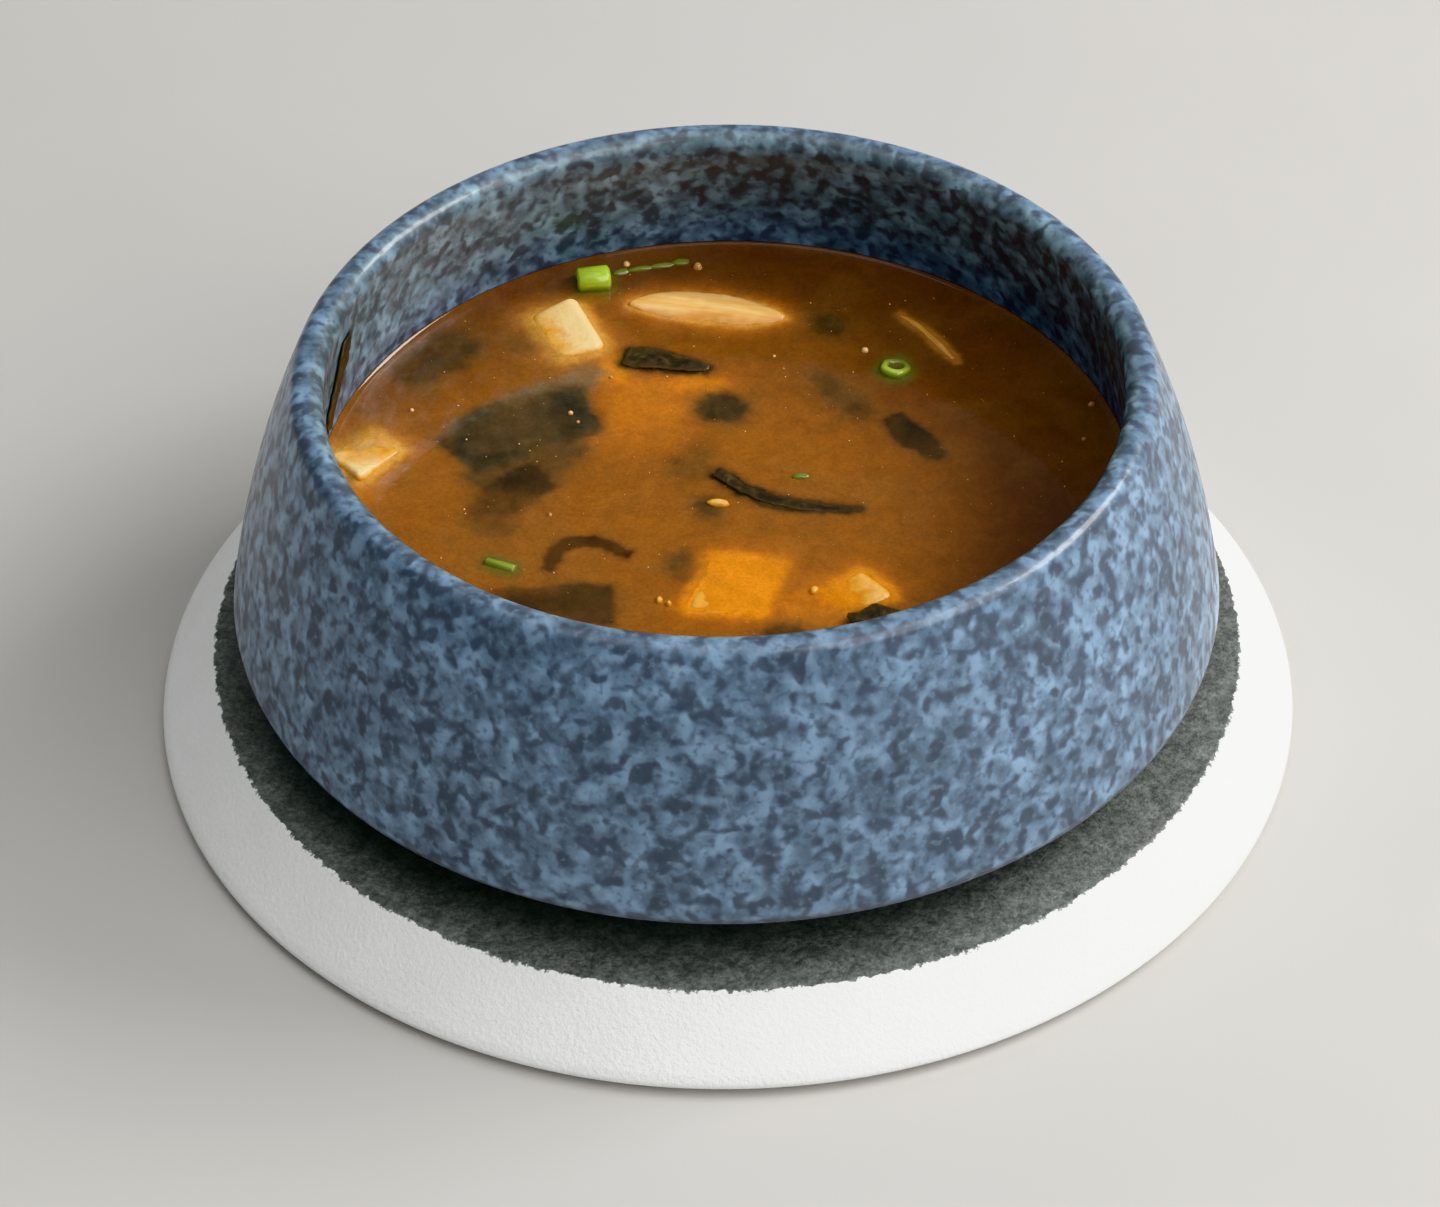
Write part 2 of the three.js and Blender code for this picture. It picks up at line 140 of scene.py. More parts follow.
# ---- material nodes
class Surface:
    """One material: a Principled shader and small helpers that add nodes to it."""

    def __init__(self, name, roughness=0.5, **fixed):
        self.material = bpy.data.materials.new(name)
        self.material.use_nodes = True
        self.tree = self.material.node_tree
        self.shader = self.tree.nodes["Principled BSDF"]
        self.shader.inputs["Roughness"].default_value = roughness
        for socket, value in fixed.items():
            self.shader.inputs[socket.replace("_", " ")].default_value = value
        self.place = self.tree.nodes.new("ShaderNodeTexCoord").outputs["Object"]

    def link(self, value, socket):
        """Feeds a socket with another socket, a number or a colour."""
        if isinstance(value, bpy.types.NodeSocket):
            self.tree.links.new(value, socket)
        elif isinstance(value, tuple):
            socket.default_value = (*value, 1)
        else:
            socket.default_value = value

    def stretched(self, x, y, z):
        """Object coordinates, scaled along each axis."""
        node = self.tree.nodes.new("ShaderNodeMapping")
        node.inputs["Scale"].default_value = (x, y, z)
        self.link(self.place, node.inputs["Vector"])
        return node.outputs["Vector"]

    def noise(self, size_mm, detail=2.0, roughness=0.5, distortion=0.0, place=None):
        """Noise from 0 to 1 whose blotches are about size_mm across."""
        node = self.tree.nodes.new("ShaderNodeTexNoise")
        self.link(place or self.place, node.inputs["Vector"])
        node.inputs["Scale"].default_value = 1 / (size_mm * MM)
        node.inputs["Detail"].default_value = detail
        node.inputs["Roughness"].default_value = roughness
        node.inputs["Distortion"].default_value = distortion
        return node.outputs["Fac"]

    def ramp(self, factor, *stops):
        """A colour that runs through (position, colour) stops."""
        node = self.tree.nodes.new("ShaderNodeValToRGB")
        self.link(factor, node.inputs["Fac"])
        elements = node.color_ramp.elements
        while len(elements) < len(stops):
            elements.new(0.5)
        for element, (position, colour) in zip(elements, stops):
            element.position = position
            element.color = (*colour, 1)
        return node.outputs["Color"]

    def mix(self, factor, first, second, blend="MIX"):
        node = self.tree.nodes.new("ShaderNodeMix")
        node.data_type = "RGBA"
        node.blend_type = blend
        node.clamp_factor = True
        self.link(factor, node.inputs[0])
        self.link(first, node.inputs[6])
        self.link(second, node.inputs[7])
        return node.outputs[2]

    def times(self, colour, tone):
        """A colour multiplied by a grey or by another colour."""
        return self.mix(1.0, colour, tone, "MULTIPLY")

    def math(self, operation, *values):
        node = self.tree.nodes.new("ShaderNodeMath")
        node.operation = operation
        for value, socket in zip(values, node.inputs):
            self.link(value, socket)
        return node.outputs[0]

    def span(self, value, low, high, to_low=0.0, to_high=1.0):
        """value from low..high to to_low..to_high, smoothly and clamped."""
        node = self.tree.nodes.new("ShaderNodeMapRange")
        node.interpolation_type = "SMOOTHSTEP"
        for socket, number in zip(node.inputs, (value, low, high, to_low, to_high)):
            self.link(number, socket)
        return node.outputs[0]

    def axes(self):
        """Object coordinates one by one, in metres."""
        split = self.tree.nodes.new("ShaderNodeSeparateXYZ")
        self.link(self.place, split.inputs[0])
        return split.outputs

    def height(self):
        return self.axes()[2]

    def axis_radius(self):
        """Distance from the bowl's axis, in metres."""
        x, y, _ = self.axes()
        squares = self.math("ADD", self.math("MULTIPLY", x, x), self.math("MULTIPLY", y, y))
        return self.math("SQRT", squares)

    def attribute(self, name, output="Fac"):
        """What a mesh holds at each point under a name."""
        node = self.tree.nodes.new("ShaderNodeAttribute")
        node.attribute_name = name
        return node.outputs[output]

    def bump(self, height, depth_mm, below=None):
        """Relief from a 0..1 height, on top of another bump's normal if given."""
        node = self.tree.nodes.new("ShaderNodeBump")
        node.inputs["Strength"].default_value = 1.0
        node.inputs["Distance"].default_value = depth_mm * MM
        self.link(height, node.inputs["Height"])
        if below is not None:
            self.link(below, node.inputs["Normal"])
        return node.outputs["Normal"]

    def finish(self, colour=None, roughness=None, normal=None):
        for value, name in ((colour, "Base Color"), (roughness, "Roughness"), (normal, "Normal")):
            if value is not None:
                self.link(value, self.shader.inputs[name])
        return self.material


TOE_MOST = 0.04         # the most that the view transform takes from a channel
TOE_CURVE = 6.25        # what a dark colour keeps of its least channel: this times its square


def srgb(red, green, blue):
    """A colour given as 0..255 screen values, in the linear values that shaders use.

    The view transform takes the same amount from every channel of a colour, so that
    amount is added here first.
    """
    def linear(value):
        value /= 255
        return value / 12.92 if value <= 0.04045 else ((value + 0.055) / 1.055) ** 2.4
    channels = [linear(value) for value in (red, green, blue)]
    least = min(channels)
    taken = math.sqrt(least / TOE_CURVE) - least if least < TOE_MOST else TOE_MOST
    return tuple(channel + taken for channel in channels)


def bowl_glaze():
    """Blue-grey glaze with soft navy blotches; greyer inside, thin and grey at the low edge; the
    underside near black as painted shade.
    """
    surface = Surface("bowl_glaze", Coat_Weight=0.32, Coat_Roughness=0.09)
    radius, height = surface.axis_radius(), surface.height()
    patches = surface.noise(3.2, detail=0.6, distortion=0.35)
    blots = surface.noise(2.4, detail=0.6, distortion=0.35)
    specks = surface.noise(1.2, detail=1.0)
    clouds = surface.noise(16.0, detail=1.0)
    inside_lip = surface.span(radius, LIP_SPINE * MM, (LIP_SPINE - 1.5) * MM)
    over_floor = surface.span(height, (FLOOR_HEIGHT - 1.5) * MM, (FLOOR_HEIGHT - 0.5) * MM)
    within = surface.math("MULTIPLY", inside_lip, over_floor)
    navy = surface.mix(within, srgb(38, 54, 75), srgb(46, 57, 67))
    colour = surface.ramp(patches, (0.34, srgb(74, 98, 121)), (0.5, srgb(92, 120, 146)),
                          (0.68, srgb(118, 149, 177)))
    colour = surface.mix(within, colour, surface.times(colour, (1.12, 1.08, 0.9)))
    colour = surface.mix(surface.span(blots, 0.58, 0.33, 0.0, 0.85), colour, navy)
    colour = surface.mix(surface.span(specks, 0.5, 0.3, 0.0, 0.5), colour, navy)
    colour = surface.mix(surface.span(specks, 0.56, 0.72, 0.0, 0.25), colour, srgb(134, 160, 184))
    colour = surface.times(colour, surface.span(clouds, 0.3, 0.7, 0.9, 1.1))
    low = surface.span(height, (BOWL_EDGE_HEIGHT + 0.2) * MM, (BOWL_UNDERSIDE + 1.0) * MM, 0.0, 0.6)
    colour = surface.mix(low, colour, srgb(122, 116, 122))
    # painted shade: the underside, over the saucer, made near black
    painted_underside_shade = surface.span(height, (BOWL_UNDERSIDE + 0.4) * MM, (BOWL_UNDERSIDE - 0.1) * MM)
    colour = surface.mix(painted_underside_shade, colour, srgb(30, 30, 32))
    roughness = surface.span(blots, 0.35, 0.65, 0.45, 0.33)
    relief = surface.bump(blots, 0.10, below=surface.bump(patches, 0.25))
    return surface.finish(colour, roughness, relief)


def saucer_finish():
    """Dark stippled glaze on the flat top, bare white stoneware outside its ragged edge."""
    surface = Surface("saucer_stoneware")
    radius, height = surface.axis_radius(), surface.height()
    grain = surface.noise(0.75, detail=3.0, roughness=0.7)
    patches = surface.noise(2.6)
    dark = surface.ramp(
        grain, (0.34, srgb(70, 75, 71)), (0.5, srgb(98, 103, 98)), (0.62, srgb(114, 119, 113)),
        (0.76, srgb(134, 138, 129)))
    dark = surface.times(dark, surface.span(patches, 0.3, 0.7, 0.75, 1.1))
    white_tone = surface.noise(9.0)
    fine = surface.noise(0.5, detail=1.0)
    white = surface.mix(white_tone, srgb(238, 238, 235), srgb(246, 246, 244))
    white = surface.times(white, surface.span(fine, 0.3, 0.7, 0.97, 1.0))
    ragged = surface.noise(1.4, detail=3.0, roughness=0.7)
    edge = surface.math("ADD", radius, surface.span(ragged, 0.25, 0.75, -0.4 * MM, 0.4 * MM))
    outside = surface.span(edge, (SAUCER_TOP - 0.15) * MM, (SAUCER_TOP + 0.15) * MM)
    below = surface.span(height, (SAUCER_RECESS + 0.2) * MM, (SAUCER_RECESS + 0.4) * MM, 1.0, 0.0)
    bare = surface.math("MAXIMUM", outside, below)
    colour = surface.mix(bare, dark, white)
    roughness = surface.mix(bare, surface.span(grain, 0.3, 0.7, 0.42, 0.6), (0.72, 0.72, 0.72))
    relief = surface.bump(grain, 0.18, below=surface.bump(white_tone, 0.12))
    return surface.finish(colour, roughness, relief)


def broth_finish():
    """Cloudy orange-brown broth; its colour over sunk food, with painted shade by the wall and a
    painted sheen, is in the mesh's colours.
    """
    surface = Surface("broth", roughness=0.04, IOR=1.36, Coat_Weight=0.4, Coat_Roughness=0.02,
                      Subsurface_Weight=0.15, Subsurface_Radius=(1.0, 0.4, 0.1),
                      Subsurface_Scale=0.002)
    seen = surface.attribute("seen_in_broth_and_painted_light", "Color")
    haze = surface.noise(4.0, detail=4.0, roughness=0.65, distortion=0.6)
    grains = surface.noise(0.5, roughness=0.7)
    swirls = surface.noise(16.0, distortion=0.8)
    colour = surface.mix(surface.span(swirls, 0.35, 0.68, 0.0, 0.3), seen, srgb(122, 80, 24))
    colour = surface.times(colour, surface.span(haze, 0.25, 0.75, 0.86, 1.13))
    colour = surface.times(colour, surface.span(grains, 0.3, 0.7, 0.88, 1.1))
    ripples = surface.noise(9.0)
    relief = surface.bump(ripples, 0.10, below=surface.bump(grains, 0.006))
    return surface.finish(colour, None, relief)


def tofu_finish():
    """Cream bean curd with fine pores; broth stains its low parts and, partly as painted shade,
    where its stain attribute is high.
    """
    surface = Surface("tofu", roughness=0.36, Subsurface_Weight=0.3, Coat_Weight=0.15,
                      Coat_Roughness=0.1, Subsurface_Radius=(1.0, 0.6, 0.3), Subsurface_Scale=0.002)
    soaked = surface.noise(2.6, detail=3.0, roughness=0.6)
    pores = surface.noise(0.6, roughness=0.6)
    colour = surface.mix(soaked, srgb(254, 223, 160), srgb(249, 209, 134))
    # broth stain by a per-point attribute, partly painted shade on the less lit side of a block
    colour = surface.mix(surface.attribute("soak_and_shade"), colour, srgb(224, 142, 2))
    level = surface.math("ADD", surface.height(),
                         surface.span(soaked, 0.25, 0.75, -0.3 * MM, 0.3 * MM))
    colour = surface.mix(surface.span(level, (LEVEL + 1.3) * MM, (LEVEL + 0.3) * MM), colour,
                         srgb(230, 164, 44))
    colour = surface.mix(surface.span(level, (LEVEL + 0.5) * MM, LEVEL * MM), colour,
                         srgb(217, 130, 1))
    colour = surface.times(colour, surface.span(pores, 0.28, 0.5, 0.9, 1.0))
    relief = surface.bump(pores, 0.06, below=surface.bump(soaked, 0.15))
    return surface.finish(colour, None, relief)


def mushroom_finish():
    """Pale fibrous flesh with streaks along the slice, stained where it dips in the broth; its back
    half greyer as a painted highlight.
    """
    surface = Surface("mushroom", roughness=0.4, Subsurface_Weight=0.2, Coat_Weight=0.4,
                      Coat_Roughness=0.12, Subsurface_Radius=(1.0, 0.6, 0.35),
                      Subsurface_Scale=0.0015)
    place = surface.tree.nodes.new("ShaderNodeCombineXYZ")
    across = surface.attribute("across")
    along = surface.attribute("along")
    surface.link(surface.math("MULTIPLY", across, MM), place.inputs[0])
    surface.link(surface.math("MULTIPLY", along, 0.12 * MM), place.inputs[1])
    fibres = surface.noise(1.3, place=place.outputs[0])
    colour = surface.ramp(fibres, (0.32, srgb(220, 158, 70)), (0.5, srgb(238, 188, 102)),
                          (0.66, srgb(245, 206, 136)))
    # painted highlight: the back half of the slice greyer
    colour = surface.mix(surface.span(across, 0.6, 2.6, 0.0, 0.6), colour, srgb(198, 164, 104))
    low = surface.span(surface.height(), (LEVEL + 0.6) * MM, (LEVEL + 0.05) * MM, 0.0, 0.9)
    damp = surface.math("MAXIMUM", low, surface.math("MULTIPLY", surface.attribute("edge"), 0.6))
    colour = surface.mix(damp, colour, srgb(198, 128, 38))
    return surface.finish(colour, None, surface.bump(fibres, 0.12))


def wakame_finish():
    """Dark wet seaweed: nearly black green, olive where it is thin."""
    surface = Surface("wakame", Coat_Weight=0.12, Coat_Roughness=0.15, Specular_IOR_Level=0.3)
    folds = surface.noise(2.0, detail=3.0, roughness=0.6, distortion=0.8)
    veins = surface.noise(0.5, place=surface.stretched(1.0, 0.35, 1.0))
    colour = surface.ramp(folds, (0.35, srgb(30, 22, 3)), (0.55, srgb(50, 38, 8)),
                          (0.72, srgb(78, 62, 20)))
    thin = surface.math("MULTIPLY", surface.attribute("edge"), 0.5)
    colour = surface.mix(thin, colour, srgb(88, 62, 12))
    roughness = surface.span(veins, 0.3, 0.7, 0.36, 0.5)
    relief = surface.bump(veins, 0.06, below=surface.bump(folds, 0.2))
    return surface.finish(colour, roughness, relief)


def scallion_finish():
    """Green skin, paler towards the cut and inside."""
    surface = Surface("scallion", roughness=0.28, Coat_Weight=0.5, Coat_Roughness=0.06,
                      Subsurface_Weight=0.15, Subsurface_Radius=(0.5, 1.0, 0.2),
                      Subsurface_Scale=0.0015)
    fibres = surface.noise(0.7, place=surface.stretched(0.3, 1.0, 1.0))
    skin = surface.mix(fibres, srgb(130, 160, 16), srgb(188, 210, 50))
    colour = surface.mix(surface.attribute("inside"), skin, srgb(196, 212, 92))
    wet = surface.span(surface.height(), (LEVEL + 1.5) * MM, (LEVEL + 0.2) * MM, 0.0, 0.85)
    colour = surface.mix(wet, colour, srgb(84, 84, 10))
    return surface.finish(colour, None, surface.bump(fibres, 0.08))


def foam_finish():
    """Tiny pale bubbles and grains of miso."""
    surface = Surface("foam_grains", roughness=0.25, Coat_Weight=0.6)
    tone = surface.noise(1.5, detail=1.0)
    colour = surface.ramp(tone, (0.35, srgb(178, 116, 48)), (0.65, srgb(232, 186, 124)))
    return surface.finish(colour, None, surface.bump(tone, 0.02))


def floor_finish():
    """Plain warm grey, faintly uneven."""
    surface = Surface("floor", roughness=0.75)
    tone = surface.noise(60.0)
    return surface.finish(surface.mix(tone, srgb(188, 185, 180), srgb(194, 191, 186)), None,
                          surface.bump(tone, 0.05))


# ---- meshes
def add_mesh(name, points, faces, material, values=None, replaces=()):
    """A piece on the body from points in millimetres. values: per-point numbers by name."""
    mesh = bpy.data.meshes.new(name)
    mesh.from_pydata((np.asarray(points) * MM).tolist(), [], faces)
    mesh.validate()
    mesh.materials.append(material)
    mesh.shade_smooth()
    for key, numbers in (values or {}).items():
        layer = mesh.attributes.new(key, "FLOAT", "POINT")
        layer.data.foreach_set("value", np.asarray(numbers, np.float32))
    piece = bpy.data.objects.new(name, mesh)
    bpy.context.scene.collection.objects.link(piece)
    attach(piece, "root")
    if replaces:
        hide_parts(*replaces)
    return piece


def close_rings(points, steps, heights):
    """Faces of a solid round the axis, whose points come ring after ring of steps each.

    It adds a point on the axis at either end, at the two heights.
    """
    rings = len(points) // steps

    def edges(ring):
        return [(ring * steps + k, ring * steps + (k + 1) % steps) for k in range(steps)]

    faces = [(a, b, b + steps, a + steps) for ring in range(rings - 1) for a, b in edges(ring)]
    points += [(0, 0, height) for height in heights]
    faces += [(a, len(points) - 2, b) for a, b in edges(0)]
    return faces + [(a, b, len(points) - 1) for a, b in edges(rings - 1)]


def flipped(faces):
    """The same faces, looking the other way."""
    return [tuple(reversed(face)) for face in faces]


def turned_mesh(profile, steps):
    """Points and faces of a solid turned about +Z; the profile runs from axis to axis."""
    points = []
    for radius, height in profile[1:-1]:
        for step in range(steps):
            angle = 2 * math.pi * step / steps
            points.append((radius * math.cos(angle), radius * math.sin(angle), height))
    return points, close_rings(points, steps, (profile[0][1], profile[-1][1]))


def arc(radius, height, reach, start, end, steps):
    """Points of a round stretch about a centre, between two angles in degrees."""
    angles = np.radians(np.linspace(start, end, steps + 1))
    return [(radius + reach * math.cos(a), height + reach * math.sin(a)) for a in angles]


def bent(start, control, end, steps):
    """Points of a quadratic curve, both ends in."""
    start, control, end = (np.array(point, float) for point in (start, control, end))
    line = []
    for t in np.linspace(0, 1, steps + 1):
        line.append(tuple((1 - t) ** 2 * start + 2 * t * (1 - t) * control + t * t * end))
    return line


def straight(start, end, steps):
    """Points between two ends, both ends left out."""
    start, end = np.array(start, float), np.array(end, float)
    return [tuple(start + (end - start) * k / steps) for k in range(1, steps)]


def floor_curve(inset, steps):
    """The bowl's inside from the foot of its wall to its flat floor, moved inwards by inset."""
    top = (wall_radius(WALL_FOOT) - inset, WALL_FOOT)
    corner = (wall_radius(FLOOR_HEIGHT) - inset, FLOOR_HEIGHT + inset)
    return bent(top, corner, (FLOOR_RADIUS, FLOOR_HEIGHT + inset), steps)


def bowl_profile():
    """Half section of the bowl, from the axis under it to the axis on its floor."""
    bottom = SAUCER_HEIGHT + GAP
    edge = BOWL_WIDEST - BOWL_EDGE_ROUND
    rise = LIP_HEIGHT - BOWL_EDGE_HEIGHT
    lean = math.degrees(math.atan2(edge - LIP_SPINE, rise))
    inside_lean = math.degrees(
        math.atan2(LEVEL_RADIUS - wall_radius(LIP_HEIGHT), LIP_HEIGHT - LEVEL))
    turn = math.degrees(4 * WALL_BULGE / rise)
    lower = arc(edge, BOWL_EDGE_HEIGHT, BOWL_EDGE_ROUND, -90, lean - turn, 16)
    lip = arc(LIP_SPINE, LIP_HEIGHT, LIP_ROUND, lean + turn, 180 - inside_lean, 28)
    start, end = np.array(lower[-1]), np.array(lip[0])
    along = end - start
    outwards = np.array((along[1], -along[0])) / np.linalg.norm(along)
    control = (start + end) / 2 + outwards * 2 * WALL_BULGE
    inside_foot = BOWL_FOOT - BOWL_FOOT_WIDTH
    return [
        (0, bottom + BOWL_RECESS), (inside_foot - 2, bottom + BOWL_RECESS),
        (inside_foot - 1.4, bottom + BOWL_RECESS - 0.5), (inside_foot - 0.2, bottom + 0.5),
        (inside_foot + 0.4, bottom), (BOWL_FOOT - 0.5, bottom), (BOWL_FOOT, bottom + 0.5),
        (BOWL_FOOT + 1.5, BOWL_UNDERSIDE - 1.5), (BOWL_FOOT + 2.4, BOWL_UNDERSIDE - 0.4),
        (BOWL_FOOT + 4, BOWL_UNDERSIDE),
        *lower, *bent(start, control, end, 14)[1:-1], *lip,
        *straight(lip[-1], (wall_radius(WALL_FOOT), WALL_FOOT), 12), *floor_curve(0, 10),
        (0, FLOOR_HEIGHT)]


def saucer_profile():
    """Half section of the saucer, from the axis under it to the axis on its flat top."""
    slope = math.atan2(SAUCER_EDGE - SAUCER_TOP, SAUCER_HEIGHT - SAUCER_EDGE_LIFT)
    round_edge = 0.8
    corner = SAUCER_TOP - round_edge * math.tan((math.pi / 2 - slope) / 2)
    foot = SAUCER_FOOT - SAUCER_FOOT_WIDTH
    shoulder = arc(corner, SAUCER_HEIGHT - round_edge, round_edge, math.degrees(slope), 90, 8)
    edge = (SAUCER_EDGE - 0.2, SAUCER_EDGE_LIFT + 0.9)
    return [
        (0, SAUCER_RECESS), (foot - 3.2, SAUCER_RECESS), (foot - 2.2, SAUCER_RECESS - 0.8),
        (foot - 0.5, 0.5), (foot, 0), (SAUCER_FOOT - 0.4, 0), (SAUCER_FOOT, 0.1),
        (SAUCER_EDGE - 0.9, SAUCER_EDGE_LIFT - 0.6), (SAUCER_EDGE - 0.25, SAUCER_EDGE_LIFT - 0.2),
        (SAUCER_EDGE, SAUCER_EDGE_LIFT + 0.2), edge,
        *straight(edge, shoulder[0], 8), *shoulder, *straight(shoulder[-1], (0, SAUCER_HEIGHT), 10),
        (0, SAUCER_HEIGHT)]


# ---- food
def noise_at(x, y, z, size, seed):
    """Smooth noise about -1..1 with features of about size millimetres."""
    return noise.noise(Vector((x / size + seed, y / size - seed, z / size + 3 * seed)))


def smooth_line(points, count):
    """count points, evenly spaced, on a smooth line through the given points."""
    points = np.array(points, float)
    padded = np.vstack([2 * points[0] - points[1], points, 2 * points[-1] - points[-2]])
    fine = []
    for k in range(len(points) - 1):
        a, b, c, d = padded[k:k + 4]
        for t in np.linspace(0, 1, 40, endpoint=False):
            fine.append(0.5 * (2 * b + (c - a) * t + (2 * a - 5 * b + 4 * c - d) * t ** 2
                               + (3 * b - a - 3 * c + d) * t ** 3))
    fine = np.array(fine + [points[-1]])
    length = np.concatenate([[0], np.cumsum(np.linalg.norm(np.diff(fine, axis=0), axis=1))])
    wanted = np.linspace(0, length[-1], count)
    return np.stack([np.interp(wanted, length, fine[:, k]) for k in range(points.shape[1])], 1)


LEAF_STEPS = (0.4, 0.35)        # between the points of a leaf, along and across
FRAYED_END = 0.9                # how far its ends are frayed


def leaf_mesh(spine, width, heads, lift, wave, thickness=0.45, tilt=0.0, ripples=2.2,
              lobes=0.12, frill=0.1, crease=0.1, belly=1.0, arch=0.0, dip=(0.0, 0.0)):
    """Points, faces and per-point values of a thin wavy sheet that lies along a line.

    heads are its end widths and belly says how full it is between them; tilt raises its
    left side, arch lowers both sides and dip adds a height at each end.
    """
    spine = np.array(spine, float)
    reach = np.linalg.norm(np.diff(spine, axis=0), axis=1).sum()
    along = max(int(reach / LEAF_STEPS[0]), 16)
    across = max(int(width / LEAF_STEPS[1]), 5)
    line = smooth_line(spine, along + 1)
    tangents = np.gradient(line, axis=0)
    tangents /= np.linalg.norm(tangents, axis=1)[:, None]
    top, values = [], {"along": [], "across": [], "edge": []}
    for i in range(along + 1):
        u = i / along
        full = belly * math.sin(math.pi * u) ** 0.7 if 0 < u < 1 else 0.0
        share = (heads[0] + (heads[1] - heads[0]) * u) * (1 - full) + full
        slope = dip[0] + (dip[1] - dip[0]) * u
        for j in range(across + 1):
            v = j / across
            lobe = 1 + lobes * math.sin(9 * u + 5 * v + width)
            side = (v - 0.5) * width * share * lobe
            x = line[i][0] - tangents[i][1] * side
            y = line[i][1] + tangents[i][0] * side
            rim = abs(2 * v - 1) ** 3
            end = max(0.0, 1 - min(u, 1 - u) * reach / FRAYED_END)
            ragged = 3 * frill * (rim + end)
            x, y = (x + ragged * noise_at(x, y, 0, 0.9, 4.1),
                    y + ragged * noise_at(x, y, 0, 0.9, 7.7))
            ripple = wave * math.sin(2 * math.pi * (ripples * u + 0.3 * v) + spine[0][0])
            fold = 2 * crease * noise_at(x, y, 0, 1.6, 1.3)
            droop = arch * (2 * v - 1) ** 2
            top.append((x, y, LEVEL + lift + tilt * side + slope + ripple + fold - droop))
            values["along"].append(u * reach)
            values["across"].append(side)
            values["edge"].append(min(1.0, rim + end))
    return sheet_solid(np.array(top), along, across, thickness, values)


def sheet_solid(top, along, across, thickness, values):
    """A closed thin sheet round a grid of points, thinner at its edges."""
    thin = 1 - 0.6 * np.array(values["edge"])[:, None]
    drop = np.array([[0, 0, thickness]]) * thin
    points = np.vstack([top + drop / 2, top - drop / 2])
    doubled = {name: list(numbers) * 2 for name, numbers in values.items()}
    return points, sheet_faces(along, across), doubled


def sheet_faces(along, across):
    """Faces of a sheet whose points are an outer grid and then an inner one, split alike."""
    row = across + 1
    count = row * (along + 1)
    faces = []
    for i in range(along):
        for j in range(across):
            a = i * row + j
            b = a + row
            faces.append((a, b, b + 1, a + 1))
            faces.append((a + count, a + 1 + count, b + 1 + count, b + count))
    rim = [i * row for i in range(along)] + [along * row + j for j in range(across)]
    rim += [i * row + across for i in range(along, 0, -1)] + list(range(across, 0, -1))
    return faces + [(a, a + count, b + count, b) for a, b in zip(rim, rim[1:] + rim[:1])]


def soft_block(size, rounding, relief, steps=22, seed=0.0):
    """Points and faces of a block with round edges and a slightly uneven surface."""
    half = np.array(size, float) / 2
    points, index, faces = [], {}, []

    def corner(cell):
        if cell not in index:
            place = np.array([2 * c / steps - 1 for c in cell]) * half
            core = np.clip(place, -(half - rounding), half - rounding)
            out = place - core
            length = np.linalg.norm(out)
            place = core + out / length * rounding if length > 1e-9 else place
            bump = relief * (noise_at(*place, 2.6, seed) + 0.5 * noise_at(*place, 1.0, seed))
            place = place - place / np.linalg.norm(place) * (relief * 0.8 - bump)
            index[cell] = len(points)
            points.append(tuple(place))
        return index[cell]

    for axis in range(3):
        for end in (0, steps):
            for i in range(steps):
                for j in range(steps):
                    loop = []
                    for di, dj in ((0, 0), (1, 0), (1, 1), (0, 1)):
                        cell = [0, 0, 0]
                        cell[axis] = end
                        cell[(axis + 1) % 3] = i + di
                        cell[(axis + 2) % 3] = j + dj
                        loop.append(corner(tuple(cell)))
                    faces.append(tuple(loop if end else reversed(loop)))
    return np.array(points), faces


def posed(points, centre, height, turn, lean=0.0, pitch=0.0, skew=0.0):
    """Points sheared, leaned and turned as in the frame, then set at a place."""
    shear = Matrix(((1, 0, 0), (skew, 1, 0), (0, 0, 1)))
    rotation = (Matrix.Rotation(math.radians(turn), 3, "Z")
                @ Matrix.Rotation(math.radians(pitch), 3, "X")
                @ Matrix.Rotation(math.radians(lean), 3, "Y"))
    matrix = np.array(rotation @ shear)
    return points @ matrix.T + np.array([centre[0], centre[1], height])


def ring_mesh(outer, inner, length, dome, seed):
    """A cut scallion ring along Z with round lips and an uneven wall, and how inner it is.

    dome says how much narrower its two ends are.
    """
    steps = 36
    wall = outer - inner
    lip = min(wall, length) * 0.46
    section = []
    for angle in np.radians(np.arange(0, 360, 15)):
        reach_r = wall / 2 - lip
        reach_z = length / 2 - lip
        c, s = math.cos(angle), math.sin(angle)
        section.append(((outer + inner) / 2 + math.copysign(reach_r, c) + lip * c,
                        math.copysign(reach_z, s) + lip * s))
    count = len(section)
    points, inside = [], []
    for k in range(steps):
        angle = 2 * math.pi * k / steps
        squash = 1 + 0.07 * math.sin(2 * angle + seed) + 0.03 * math.sin(5 * angle + 2 * seed)
        for radius, height in section:
            reach = radius * squash * (1 - dome * (2 * height / length) ** 4)
            points.append((reach * math.cos(angle), reach * math.sin(angle), height))
            inside.append(min(1.0, max(0.0, (outer - radius) / wall * 1.3)))
    faces = []
    for k in range(steps):
        ahead = (k + 1) % steps
        for j in range(count):
            up = (j + 1) % count
            faces.append((k * count + j, ahead * count + j, ahead * count + up, k * count + up))
    return np.array(points), faces, {"inside": inside}


def pebble(length, width, height, seed, steps):
    """An uneven low ball, for crumbs and cut bits."""
    points = []
    for i in range(1, steps):
        polar = math.pi * i / steps
        for j in range(2 * steps):
            angle = math.pi * j / steps
            way = (math.sin(polar) * math.cos(angle), math.sin(polar) * math.sin(angle),
                   math.cos(polar))
            grow = 1 + 0.22 * noise_at(*way, 0.8, seed)
            points.append((way[0] * length / 2 * grow, way[1] * width / 2 * grow,
                           way[2] * height / 2))
    faces = flipped(close_rings(points, 2 * steps, (height / 2, -height / 2)))
    return np.array(points), faces
